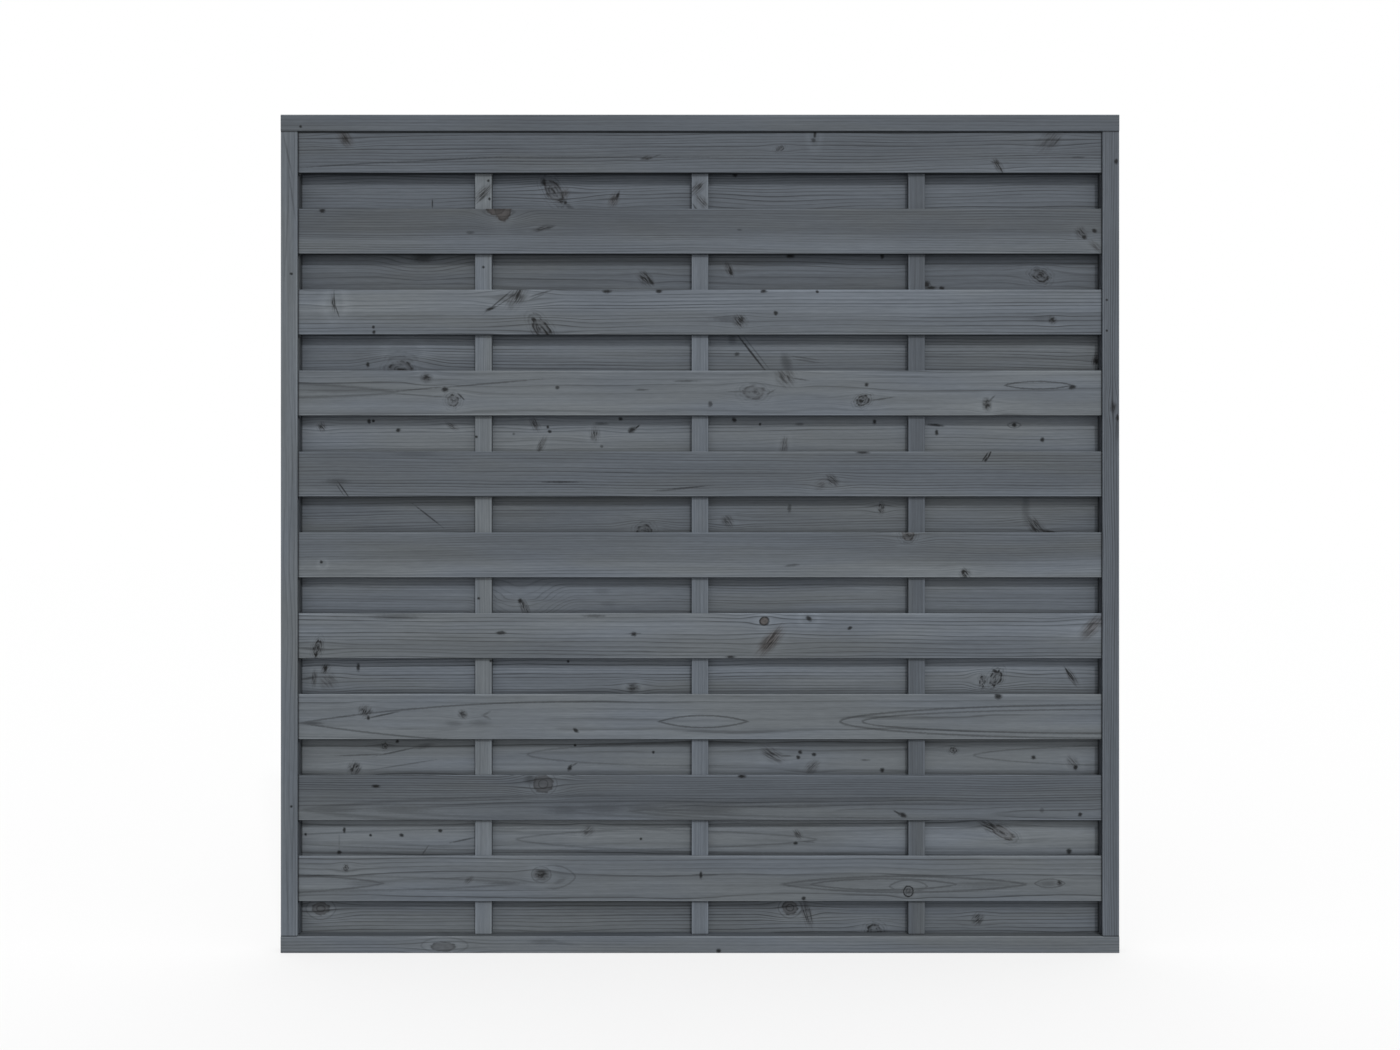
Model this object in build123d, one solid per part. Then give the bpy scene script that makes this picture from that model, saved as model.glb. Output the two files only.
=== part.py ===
"""Privacy fence panel: a grooved timber frame with slats laid by turns in front of and behind upright battens.

The frame stands on the XY plane with its middle at the origin. X runs along the slats, -Y is the front and Z is up.
Every second slat lies in the front plane and the others in the back plane, and each overlaps its neighbours in
height, so nothing shows through from straight ahead. All sizes are in millimetres.
"""

import math
import os

from build123d import *

# Panel
PANEL_WIDTH = 1800.0
PANEL_HEIGHT = 1800.0

# Frame timber: its face as seen from the front, the wood outside a groove, and the edge that is taken off
FRAME_FACE = 36.0
FRAME_LIP = 4.75
FRAME_EDGE = 1.5
GROOVE_DEPTH = 13.0
GROOVE_PLAY = 0.25
TONGUE_GAP = 1.0

# Slats, and how far one covers the next at the least
SLAT_WIDTH = 97.0
SLAT_THICKNESS = 8.0
SLAT_EDGE = 1.2
SLAT_COVER_MIN = 8.0
SLAT_END_GAP = 2.0
SLAT_TOP_GAP = 4.0

# Battens between the two slat planes
BATTEN_WIDTH = 36.0
BATTEN_THICKNESS = 16.0
BATTEN_EDGE = 1.0
BATTEN_SPACING = 467.0
BATTEN_NAMES = ("left", "centre", "right")

# Wire staples that fix each slat to each batten, driven from behind
STAPLE_CROWN = 6.0
STAPLE_WIRE_THICKNESS = 1.0
STAPLE_WIRE_WIDTH = 1.25
STAPLE_POINT_COVER = 2.0

# Countersunk screws through the rails into the ends of the stiles
SCREW_SHANK = 6.0
SCREW_HEAD = 11.5
SCREW_LENGTH = 90.0
SCREW_POINT = 9.0
SCREW_HOLE_PLAY = 0.1

# Planes and levels that follow from the sizes above
GROOVE_WIDTH = SLAT_THICKNESS + 2 * GROOVE_PLAY
FRAME_DEPTH = BATTEN_THICKNESS + 2 * (SLAT_THICKNESS + GROOVE_PLAY + FRAME_LIP)
SLAT_PLANE = (BATTEN_THICKNESS + SLAT_THICKNESS) / 2
FRONT = -1
BACK = 1
INNER_WIDTH = PANEL_WIDTH - 2 * FRAME_FACE
INNER_HEIGHT = PANEL_HEIGHT - 2 * FRAME_FACE
OPENING_MIDDLE = PANEL_HEIGHT / 2
STILE_MIDDLE = (PANEL_WIDTH - FRAME_FACE) / 2
SLAT_LENGTH = INNER_WIDTH + 2 * (GROOVE_DEPTH - SLAT_END_GAP)
SLAT_FOOT = FRAME_FACE - GROOVE_DEPTH
SLAT_STACK = INNER_HEIGHT + 2 * GROOVE_DEPTH - SLAT_TOP_GAP
STAPLE_LEG = SLAT_THICKNESS + BATTEN_THICKNESS - STAPLE_POINT_COVER


def slat_count():
    """The least even number of slats that fills the frame with enough cover, so that top and bottom mirror."""
    steps = (SLAT_STACK - SLAT_WIDTH) / (SLAT_WIDTH - SLAT_COVER_MIN)
    return 2 * math.ceil((math.ceil(steps) + 1) / 2)


SLATS = slat_count()
SLAT_PITCH = (SLAT_STACK - SLAT_WIDTH) / (SLATS - 1)


def slat_middle(number):
    """Height of a slat's middle, counted from the bottom of the panel, starting at 0."""
    return SLAT_FOOT + SLAT_WIDTH / 2 + number * SLAT_PITCH


def slat_side(number):
    """The lowest slat lies at the back, and they take turns from there."""
    return BACK if number % 2 == 0 else FRONT


def batten_places():
    """X of each batten, spread evenly about the middle of the panel."""
    middle = (len(BATTEN_NAMES) - 1) / 2
    return [(index - middle) * BATTEN_SPACING for index in range(len(BATTEN_NAMES))]


# Wire staples
def staple(crown_along_z):
    """A U of flat wire, its crown's outer face at the origin and its legs running towards -Y."""
    with BuildSketch(Plane.XY) as wire:
        Rectangle(STAPLE_CROWN, STAPLE_LEG, align=(Align.CENTER, Align.MAX))
        with Locations((0, -STAPLE_WIRE_THICKNESS)):
            Rectangle(
                STAPLE_CROWN - 2 * STAPLE_WIRE_THICKNESS,
                STAPLE_LEG - STAPLE_WIRE_THICKNESS,
                align=(Align.CENTER, Align.MAX),
                mode=Mode.SUBTRACT,
            )
    body = extrude(wire.sketch, STAPLE_WIRE_WIDTH / 2, both=True)
    return Rot(0, 90, 0) * body if crown_along_z else body


def staples_for(number):
    """The staples of one slat: through the slat at the back, through the batten for a slat in front."""
    behind = slat_side(number) == BACK
    crown_plane = BATTEN_THICKNESS / 2 + (SLAT_THICKNESS if behind else 0)
    one = staple(crown_along_z=behind)
    return [Pos(x, crown_plane, slat_middle(number)) * one for x in batten_places()]


# Corner screws
def screw(play=0.0):
    """A countersunk screw along -Z with its head's top at the origin. Play widens the shank for a hole."""
    shank = SCREW_SHANK / 2 + play
    head = SCREW_HEAD / 2
    with BuildSketch(Plane.XZ) as half:
        with BuildLine():
            Polyline(
                (0, 0),
                (head, 0),
                (shank, -(head - shank)),
                (shank, -(SCREW_LENGTH - SCREW_POINT)),
                (0, -SCREW_LENGTH),
                close=True,
            )
        make_face()
    return revolve(half.sketch, Axis.Z)


def corner_screws(play=0.0):
    """A screw at each corner, in the solid web between the grooves of the stile."""
    down = screw(play)
    up = Rot(180, 0, 0) * down
    placed = []
    for x in (-STILE_MIDDLE, STILE_MIDDLE):
        placed.append(Pos(x, 0, PANEL_HEIGHT) * down)
        placed.append(Pos(x, 0, 0) * up)
    return placed


# Frame
def frame_section():
    """The frame timber's section with its edges taken off: the depth across, the face upwards."""
    with BuildSketch() as section:
        Rectangle(FRAME_DEPTH, FRAME_FACE)
        chamfer(section.vertices(), FRAME_EDGE)
    return section.sketch


def groove_section(side):
    """A groove in the upper side of the frame timber's section, for the slats of one plane."""
    with BuildSketch() as section:
        with Locations((side * SLAT_PLANE, FRAME_FACE / 2)):
            Rectangle(GROOVE_WIDTH, GROOVE_DEPTH, align=(Align.CENTER, Align.MAX))
    return section.sketch


def rail(groove_side):
    """A rail along X, grooved on its upper side, with its middle at the origin."""
    section = Plane.YZ * (frame_section() - groove_section(groove_side))
    return extrude(section, PANEL_WIDTH / 2, both=True)


def bottom_rail():
    return Pos(0, 0, FRAME_FACE / 2) * rail(BACK)


def top_rail():
    """The same timber turned over, so that its groove faces down and lies at the front."""
    return Pos(0, 0, PANEL_HEIGHT - FRAME_FACE / 2) * Rot(180, 0, 0) * rail(BACK)


def tongue(groove_side):
    """The tongue on a stile's end that fills the rail's groove, as long as the groove is deep but for a gap."""
    return Box(
        FRAME_FACE - GROOVE_DEPTH,
        SLAT_THICKNESS,
        GROOVE_DEPTH - TONGUE_GAP,
        align=(Align.MAX, Align.CENTER, Align.MIN),
    ).move(Pos(FRAME_FACE / 2, groove_side * SLAT_PLANE, INNER_HEIGHT / 2))


def right_stile():
    """The right stile: a groove for each slat plane, and a tongue at each end."""
    section = frame_section() - groove_section(FRONT) - groove_section(BACK)
    upright = extrude(Rot(0, 0, 90) * section, INNER_HEIGHT / 2, both=True)
    stile = upright + tongue(FRONT) + Rot(180, 0, 0) * tongue(FRONT)
    return Pos(STILE_MIDDLE, 0, OPENING_MIDDLE) * stile


def left_stile():
    """The right stile's mirror image, so that its tongues lie in the same two grooves of the rails."""
    return mirror(right_stile(), Plane.YZ)


# Slats and battens
def slat(number):
    """A planed board with its long edges taken off, seated in the grooves of both stiles."""
    with BuildSketch(Plane.YZ) as section:
        Rectangle(SLAT_THICKNESS, SLAT_WIDTH)
        chamfer(section.vertices(), SLAT_EDGE)
    board = extrude(section.sketch, SLAT_LENGTH / 2, both=True)
    return Pos(0, slat_side(number) * SLAT_PLANE, slat_middle(number)) * board


def batten(x):
    """An upright between the two slat planes, cut to stand between the rails."""
    with BuildSketch() as section:
        Rectangle(BATTEN_WIDTH, BATTEN_THICKNESS)
        chamfer(section.vertices(), BATTEN_EDGE)
    return Pos(x, 0, OPENING_MIDDLE) * extrude(section.sketch, INNER_HEIGHT / 2, both=True)


def without(piece, cutters):
    """The piece with room cut for the fasteners that reach into it."""
    return piece.cut(*cutters) if cutters else piece


def near(cutters, piece):
    """The fasteners whose boxes meet the piece's box."""
    box = piece.bounding_box()
    return [one for one in cutters if box.overlaps(one.bounding_box())]


def panel():
    """Every piece of the panel by its name."""
    screw_holes = corner_screws(SCREW_HOLE_PLAY)
    wires = {number: staples_for(number) for number in range(SLATS)}
    every_wire = [wire for group in wires.values() for wire in group]

    pieces = {}
    frame = {
        "top_rail": top_rail(),
        "bottom_rail": bottom_rail(),
        "left_stile": left_stile(),
        "right_stile": right_stile(),
    }
    for name, timber in frame.items():
        pieces[name] = without(timber, near(screw_holes, timber))
    for name, x in zip(BATTEN_NAMES, batten_places()):
        upright = batten(x)
        pieces[f"{name}_batten"] = without(upright, near(every_wire, upright))
    for number in range(SLATS):
        plane = "front" if slat_side(number) == FRONT else "back"
        from_top = (SLATS - 1 - number) // 2 + 1
        pieces[f"{plane}_slat_{from_top:02d}"] = without(slat(number), wires[number])

    pieces["corner_screws"] = Compound(corner_screws())
    for name, side in (("front_slat_staples", FRONT), ("back_slat_staples", BACK)):
        group = [wire for number in range(SLATS) if slat_side(number) == side for wire in wires[number]]
        pieces[name] = Compound(group)
    return pieces


def main():
    os.makedirs("parts", exist_ok=True)
    for name, piece in panel().items():
        export_step(piece, f"parts/{name}.step")
    print(f"{SLATS} slats at a pitch of {SLAT_PITCH:.2f} mm, frame {FRAME_DEPTH:.2f} mm deep")


main()
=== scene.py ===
# %% [markdown]
# # A slatted privacy fence panel
# The real panel is a frame of four grooved timbers. Twenty thin slats lie by turns in front of and behind
# three upright battens, and all of it is spruce under a thin slate-grey stain. The imported model gives every
# board at its real size, so this lesson leaves the boards as they are and spends its effort on the wood:
# growth rings, knots, paler edges that are partly wear and partly a painted highlight, painted shade along
# the seams and the blotchy stain, all from shader nodes.

# %% Load the imported panel
import math

import bmesh
import bpy
from mathutils import Matrix, Vector


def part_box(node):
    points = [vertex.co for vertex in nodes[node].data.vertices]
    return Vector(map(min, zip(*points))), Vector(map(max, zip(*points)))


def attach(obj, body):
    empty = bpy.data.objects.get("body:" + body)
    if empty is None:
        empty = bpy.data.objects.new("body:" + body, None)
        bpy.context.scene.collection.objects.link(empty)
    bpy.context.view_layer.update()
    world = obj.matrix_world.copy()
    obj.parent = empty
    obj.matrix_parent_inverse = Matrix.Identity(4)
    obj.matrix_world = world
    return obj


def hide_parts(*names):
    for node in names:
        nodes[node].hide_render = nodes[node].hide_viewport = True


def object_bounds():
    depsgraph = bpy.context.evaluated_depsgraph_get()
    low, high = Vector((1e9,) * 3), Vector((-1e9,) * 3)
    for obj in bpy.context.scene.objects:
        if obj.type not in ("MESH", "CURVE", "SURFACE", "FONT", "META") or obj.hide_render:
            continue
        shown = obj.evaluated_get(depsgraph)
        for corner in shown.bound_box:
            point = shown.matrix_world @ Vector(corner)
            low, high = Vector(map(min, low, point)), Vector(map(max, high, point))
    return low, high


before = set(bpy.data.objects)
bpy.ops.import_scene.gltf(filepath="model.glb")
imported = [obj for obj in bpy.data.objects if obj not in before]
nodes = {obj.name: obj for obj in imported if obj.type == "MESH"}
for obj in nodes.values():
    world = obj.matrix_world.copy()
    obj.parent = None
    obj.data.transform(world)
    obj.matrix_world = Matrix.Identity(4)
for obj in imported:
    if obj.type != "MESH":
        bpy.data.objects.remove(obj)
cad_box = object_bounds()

print("loaded", len(nodes), "pieces in the box", [list(corner) for corner in cad_box])

# %% [markdown]
# ## Shorthand for shader nodes
# A wood shader is a long recipe, and clicking it together node by node would fill pages. A few short helpers
# keep the recipe readable: each adds one node, links what is a socket, sets what is a plain value and hands
# back the output. The boards share their recipe through node groups, as a workshop shares one jig.

# %% Node helpers
NOISE_MIDDLE = 0.5
MIX_FIRST = 6
MIX_SECOND = 7
MIX_RESULT = 2


def join(tree, socket, value):
    """Link a socket to an input, or set a plain value on it."""
    if isinstance(value, bpy.types.NodeSocket):
        tree.links.new(value, socket)
    else:
        socket.default_value = value


def add_node(tree, kind, settings=None, **inputs):
    """Add one node, with its settings and named inputs."""
    node = tree.nodes.new(kind)
    for name, value in (settings or {}).items():
        setattr(node, name, value)
    for name, value in inputs.items():
        join(tree, node.inputs[name], value)
    return node


def maths(tree, operation, *values):
    node = add_node(tree, "ShaderNodeMath", {"operation": operation})
    for socket, value in zip(node.inputs, values):
        join(tree, socket, value)
    return node.outputs[0]


def vector(tree, operation, *values):
    node = add_node(tree, "ShaderNodeVectorMath", {"operation": operation})
    sockets = [node.inputs[0], node.inputs["Scale"]] if operation == "SCALE" else node.inputs
    for socket, value in zip(sockets, values):
        join(tree, socket, value)
    return node.outputs["Value" if operation == "LENGTH" else "Vector"]


def parts(tree, value):
    """The X, Y and Z of a vector."""
    return add_node(tree, "ShaderNodeSeparateXYZ", Vector=value).outputs


def ease(tree, value, start, end, low=0.0, high=1.0):
    """Go smoothly from low to high while the value goes from start to end."""
    node = add_node(tree, "ShaderNodeMapRange", {"interpolation_type": "SMOOTHSTEP"}, Value=value)
    for name, level in (("From Min", start), ("From Max", end), ("To Min", low), ("To Max", high)):
        join(tree, node.inputs[name], level)
    return node.outputs[0]


def noise(tree, place, stretch, detail=2.0, rough=0.5):
    """Noise whose blotches are as long, deep and high as stretch says, in millimetres."""
    scaled = vector(tree, "MULTIPLY", place, tuple(1.0 / size for size in stretch))
    node = add_node(tree, "ShaderNodeTexNoise", Vector=scaled, Scale=1.0, Detail=detail, Roughness=rough)
    return node.outputs


def line_noise(tree, value, scale, detail):
    """Noise along a single number."""
    settings = {"noise_dimensions": "1D"}
    return add_node(tree, "ShaderNodeTexNoise", settings, W=value, Scale=scale, Detail=detail).outputs[0]


def ramp(tree, value, stops):
    """A colour ramp with a list of stops: place and colour."""
    node = add_node(tree, "ShaderNodeValToRGB", Fac=value)
    elements = node.color_ramp.elements
    while len(elements) < len(stops):
        elements.new(0.5)
    for element, (place, colour) in zip(elements, stops):
        element.position = place
        element.color = (*colour, 1.0)
    return node.outputs["Color"]


def mix_colour(tree, share, first, second):
    """A Mix node has sockets for every kind of value, so those for colours are found by their places."""
    node = add_node(tree, "ShaderNodeMix", {"data_type": "RGBA"}, Factor=share)
    join(tree, node.inputs[MIX_FIRST], first)
    join(tree, node.inputs[MIX_SECOND], second)
    return node.outputs[MIX_RESULT]


def centred(tree, value):
    return maths(tree, "SUBTRACT", value, NOISE_MIDDLE)


def start_group(name, inputs, outputs):
    """A new node group: its tree, its input sockets and its output sockets."""
    tree = bpy.data.node_groups.new(name, "ShaderNodeTree")
    for way, sockets in (("INPUT", inputs), ("OUTPUT", outputs)):
        for label, kind in sockets.items():
            tree.interface.new_socket(label, in_out=way, socket_type="NodeSocket" + kind)
    return tree, tree.nodes.new("NodeGroupInput").outputs, tree.nodes.new("NodeGroupOutput").inputs


def use_group(tree, group, **inputs):
    return add_node(tree, "ShaderNodeGroup", {"node_tree": group}, **inputs).outputs


print("node helpers ready")

# %% [markdown]
# ## The grain parts round a knot
# A knot is the root of a branch, and the growth rings part round it like water round a stone. Painting dots
# on straight grain never looks right, so this first group only bends: it draws the coordinates that the
# rings read later towards the knot, and it can lift the rings so that they close into eyes and arches.

# %% A group that bends the grain
FLOW_EDGE = 1.0
FLOW_HEART = 0.15


def flow_group():
    inputs = dict(place="Vector", bent="Vector", lift="Float", centre="Vector", flow="Vector", pull="Vector",
                  rise="Float")
    tree, given, made = start_group("grain_flow", inputs, dict(bent="Vector", lift="Float"))
    away = vector(tree, "SUBTRACT", given["centre"], given["place"])
    distance = vector(tree, "LENGTH", vector(tree, "MULTIPLY", away, given["flow"]))
    flow = ease(tree, distance, FLOW_EDGE, FLOW_HEART)
    drawn_in = vector(tree, "SCALE", vector(tree, "MULTIPLY", away, given["pull"]), flow)
    tree.links.new(vector(tree, "ADD", given["bent"], drawn_in), made["bent"])
    tree.links.new(maths(tree, "MULTIPLY_ADD", flow, given["rise"], given["lift"]), made["lift"])
    return tree


grain_flow = flow_group()
print("flow group with", len(grain_flow.nodes), "nodes")

# %% [markdown]
# ## Hearts of knots
# On a planed face the knot itself is dark and ragged, and no two are alike: a solid black heart, a sheaf of
# torn strokes, a target of fine rings or a dead brown plug. One ramp over the distance from the heart holds
# three profiles at once: red is dark, green is the pale halo and blue is brown. Noise in the knot's own
# coordinates, stretched along its lean, frays the outline and breaks the heart into strokes.

# %% Groups for four kinds of heart
RAMP_REACH = 3.2
NO_MARK = (0.0, 0.0, 0.0)
FULL_MARK = (1.0, 1.0, 1.0)
TORN = (0.38, 0.62)
DEEP_STRAND = 9.0
HEARTS = {
    "solid": dict(fray=0.9, strand=(0.9, 0.5), patchy=(0.7, 1.2), profile=[
        (0.0, (1.0, 0.0, 0.8)), (0.4, (0.9, 0.0, 0.8)), (0.75, (0.6, 0.0, 0.6)), (1.0, (0.34, 0.05, 0.4)),
        (1.35, (0.14, 0.5, 0.15)), (1.7, (0.04, 0.8, 0.0)), (2.3, (0.0, 0.35, 0.0)), (3.0, NO_MARK)]),
    "hatched": dict(fray=0.8, strand=(1.2, 0.34), patchy=(0.3, 1.35), profile=[
        (0.0, (0.95, 0.0, 0.9)), (0.45, (0.8, 0.0, 0.8)), (0.8, (0.55, 0.0, 0.6)), (1.1, (0.3, 0.1, 0.35)),
        (1.5, (0.1, 0.5, 0.1)), (1.9, (0.02, 0.6, 0.0)), (3.0, NO_MARK)]),
    "ringed": dict(fray=0.7, strand=(0.8, 0.6), patchy=(0.35, 1.4), profile=[
        (0.0, (1.0, 0.0, 0.8)), (0.18, (0.8, 0.0, 0.7)), (0.32, (0.4, 0.0, 0.5)), (0.46, (0.75, 0.0, 0.6)),
        (0.62, (0.35, 0.1, 0.5)), (0.78, (0.55, 0.0, 0.6)), (0.92, (1.0, 0.0, 0.8)),
        (1.08, (0.45, 0.0, 0.3)), (1.22, (0.1, 0.6, 0.0)), (1.4, (0.35, 0.2, 0.0)),
        (1.58, (0.0, 0.6, 0.0)), (1.8, (0.15, 0.2, 0.0)), (2.0, (0.0, 0.4, 0.0)), (3.0, NO_MARK)]),
    "plug": dict(fray=0.7, strand=(0.7, 0.45), patchy=(0.7, 1.25), profile=[
        (0.0, (0.45, 0.0, 1.0)), (0.78, (0.4, 0.0, 1.0)), (0.93, (0.8, 0.0, 1.0)), (1.04, (0.6, 0.0, 0.7)),
        (1.14, (0.05, 0.8, 0.1)), (1.4, (0.0, 1.0, 0.0)), (2.0, (0.0, 0.4, 0.0)), (3.0, NO_MARK)]),
}
MARK_SHAPE = dict(centre="Vector", reach="Vector", turn="Vector")


def own_place(tree, given):
    """A mark's own coordinates: centred, turned by its lean and measured in its half sizes."""
    return add_node(tree, "ShaderNodeMapping", {"vector_type": "TEXTURE"}, Vector=given["place"],
                    Location=given["centre"], Rotation=given["turn"], Scale=given["reach"]).outputs[0]


def heart_group(name, profile, fray, strand, patchy):
    inputs = dict(place="Vector", marks="Vector", **MARK_SHAPE, strength="Vector")
    tree, given, made = start_group(name + "_heart", inputs, dict(marks="Vector"))
    local = own_place(tree, given)
    own_patch = vector(tree, "ADD", local, given["centre"])
    torn = noise(tree, own_patch, (strand[0], DEEP_STRAND, strand[1]))[0]
    distance = maths(tree, "MULTIPLY_ADD", centred(tree, torn), -fray, vector(tree, "LENGTH", local))
    profiles = ramp(tree, maths(tree, "DIVIDE", distance, RAMP_REACH),
                    [(place / RAMP_REACH, colour) for place, colour in profile])
    strokes = ease(tree, torn, *TORN, *patchy)
    on_dark = add_node(tree, "ShaderNodeCombineXYZ", X=strokes, Y=1.0, Z=1.0).outputs[0]
    own = vector(tree, "MULTIPLY", vector(tree, "MULTIPLY", profiles, given["strength"]), on_dark)
    own = vector(tree, "MINIMUM", own, FULL_MARK)
    tree.links.new(vector(tree, "MAXIMUM", given["marks"], own), made["marks"])
    return tree


heart_groups = {name: heart_group(name, **look) for name, look in HEARTS.items()}
print("hearts:", ", ".join(heart_groups))

# %% [markdown]
# ## Pins, cracks and smears
# Between the knots lie many smaller marks: pin knots, short cracks, dark dashes and resin smears. They
# don't bend the grain, so each is only a soft ellipse that is as dark as it is strong, in a much cheaper
# group.

# %% A group for one small mark
FLECK_CORE = 0.4


def fleck_group():
    inputs = dict(place="Vector", ink="Float", fray="Float", **MARK_SHAPE, soft="Float", strength="Float")
    tree, given, made = start_group("fleck", inputs, dict(ink="Float"))
    distance = maths(tree, "ADD", vector(tree, "LENGTH", own_place(tree, given)), given["fray"])
    own = ease(tree, distance, given["soft"], FLECK_CORE, 0.0, given["strength"])
    tree.links.new(maths(tree, "MAXIMUM", given["ink"], own), made["ink"])
    return tree


fleck = fleck_group()
print("fleck group:", fleck.name)

# %% [markdown]
# ## Eyes in the grain
# Where a saw cuts a ring flat, the ring comes to the surface as a long thin eye, and near a board's end as
# a pointed arch. A band between two ellipses would swell at the tips. So this group takes the formula of
# the outline, divides it by its own slope, which gives a near enough distance in millimetres, and draws a
# line of even width. The blunt value is 1 for two arcs that meet in a point and 2 for a round ellipse. A
# fade of 1 lets the right end fade out, and one of -1 the left end.

# %% A group for one eye
EYE_WOBBLE = 3.0
EYE_CORE = 0.4
FADE_REACH = 0.4


def eye_group():
    inputs = dict(place="Vector", ink="Float", fray="Float", **MARK_SHAPE, width="Float", blunt="Float",
                  fade="Float", strength="Float")
    tree, given, made = start_group("eye", inputs, dict(ink="Float"))
    along, _, across = parts(tree, own_place(tree, given))
    half_along, _, half_across = parts(tree, given["reach"])
    across = maths(tree, "ABSOLUTE", across)
    formula = maths(tree, "MULTIPLY_ADD", along, along, maths(tree, "POWER", across, given["blunt"]))
    slope_along = maths(tree, "DIVIDE", maths(tree, "MULTIPLY", along, 2.0), half_along)
    steep = maths(tree, "POWER", across, maths(tree, "SUBTRACT", given["blunt"], 1.0))
    slope_across = maths(tree, "DIVIDE", maths(tree, "MULTIPLY", steep, given["blunt"]), half_across)
    slopes = add_node(tree, "ShaderNodeCombineXYZ", X=slope_along, Y=slope_across).outputs[0]
    off_line = maths(tree, "DIVIDE", maths(tree, "SUBTRACT", formula, 1.0), vector(tree, "LENGTH", slopes))
    off_line = maths(tree, "MULTIPLY_ADD", given["fray"], EYE_WOBBLE, off_line)
    faded = maths(tree, "MULTIPLY", along, given["fade"])
    left = ease(tree, faded, 0.0, FADE_REACH, given["strength"], 0.0)
    own = ease(tree, maths(tree, "ABSOLUTE", off_line), given["width"], EYE_CORE, 0.0, left)
    tree.links.new(maths(tree, "MAXIMUM", given["ink"], own), made["ink"])
    return tree


ring_eye = eye_group()
print("eye group:", ring_eye.name)

# %% [markdown]
# ## Growth rings
# A board is a slice through a stack of long cones round the tree's pith. So the rings are worked out as a
# real distance from a pith line: beside the board gives straight grain, close behind it gives the arches of
# a flat-sawn board, and the sawn ends show round rings without any further work. Slow noise makes the pith
# wander. Every ring fades from pale early wood to a narrow dark line of late wood, and each has its own
# strength. Where the face cuts a ring flat, the line spreads out and pales. Four numbers in a row are a
# start, an end and the levels there, as ease takes them.

# %% Rings as a distance from the pith
LATE_WOOD = [
    (0.0, (0.2, 0.2, 0.2)),
    (0.08, (0.0, 0.0, 0.0)),
    (0.5, (0.05, 0.05, 0.05)),
    (0.74, (0.3, 0.3, 0.3)),
    (0.85, (1.0, 1.0, 1.0)),
    (0.94, (1.0, 1.0, 1.0)),
    (1.0, (0.2, 0.2, 0.2)),
]
ACROSS_GRAIN = (0.0, 1.0, 1.0)
PITH_WANDER = (430.0, 90.0, 90.0)
PITH_DETAIL = 1.0
PITH_ROUGHNESS = 0.75
RING_JITTER = (90.0, 6.0, 6.0)
UNEVEN_SPACING = 22.0
SPACING_SHIFT = 0.9
JITTER_SHIFT = 0.32
RING_CHANGE = 0.47
RING_STRENGTH = (0.3, 0.65, 0.45, 1.0)
FLAT_CUT = (0.05, 0.5, 0.2, 1.0)


def product(tree, first, *others):
    for other in others:
        first = maths(tree, "MULTIPLY", first, other)
    return first


def ring_distance(tree, given):
    """Distance from the wandering pith line, how steeply the face cuts the rings, and the seeded place."""
    seeded = vector(tree, "ADD", given["bent"], given["seed"])
    drift = noise(tree, seeded, PITH_WANDER, PITH_DETAIL, PITH_ROUGHNESS)["Color"]
    wander = vector(tree, "SCALE", vector(tree, "SUBTRACT", drift, (NOISE_MIDDLE,) * 3), given["wander"])
    slope = vector(tree, "SCALE", given["slope"], parts(tree, given["bent"])["X"])
    from_pith = vector(tree, "SUBTRACT", given["bent"], given["pith"])
    from_pith = vector(tree, "ADD", vector(tree, "SUBTRACT", from_pith, slope), wander)
    distance = vector(tree, "LENGTH", vector(tree, "MULTIPLY", from_pith, ACROSS_GRAIN))
    sideways = maths(tree, "ABSOLUTE", parts(tree, from_pith)["Z"])
    return distance, maths(tree, "DIVIDE", sideways, distance), seeded


def late_wood(tree, given):
    """How much late wood a point has, from 0 to 1."""
    distance, steep, seeded = ring_distance(tree, given)
    spacing = line_noise(tree, maths(tree, "DIVIDE", distance, UNEVEN_SPACING), 1.0, 1.0)
    count = maths(tree, "DIVIDE", distance, given["ring"])
    count = maths(tree, "ADD", maths(tree, "MULTIPLY_ADD", spacing, SPACING_SHIFT, count), given["lift"])
    count = maths(tree, "MULTIPLY_ADD", noise(tree, seeded, RING_JITTER)[0], JITTER_SHIFT, count)
    profile = ramp(tree, maths(tree, "FRACT", count), LATE_WOOD)
    strength = ease(tree, line_noise(tree, count, RING_CHANGE, 0.0), *RING_STRENGTH)
    return product(tree, profile, strength, ease(tree, steep, *FLAT_CUT))


print("rings with", len(LATE_WOOD), "stops from early to late wood")

# %% [markdown]
# ## Seams and shelter
# Where a board runs into the frame or under another one, its colour gets painted shade: a painted shadow
# along the seam, and darker faces inside the opening where the neighbours keep the light off. Painting that
# on by hand would need a picture, so each board only says where its seams are. A joint is three places: how
# far both ends are from the middle, a lower seam with painted shade rising above it and an upper one with a
# painted shadow just below it. A shelter is the lower side, the upper side and the depth of the faces that
# lie in shade and get painted shade.

# %% Seams and sheltered faces
MILLIMETRES = 1000.0
OPENING_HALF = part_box("right_stile")[0][0] * MILLIMETRES
# how far the painted shade reaches, in millimetres: along the upper seam and the ends, and above the lower
# seam
SHADE_AT_SEAM_EDGE = (3.5, 0.5)
SHADE_ABOVE_SEAM_EDGE = (12.0, 0.0)


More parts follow.
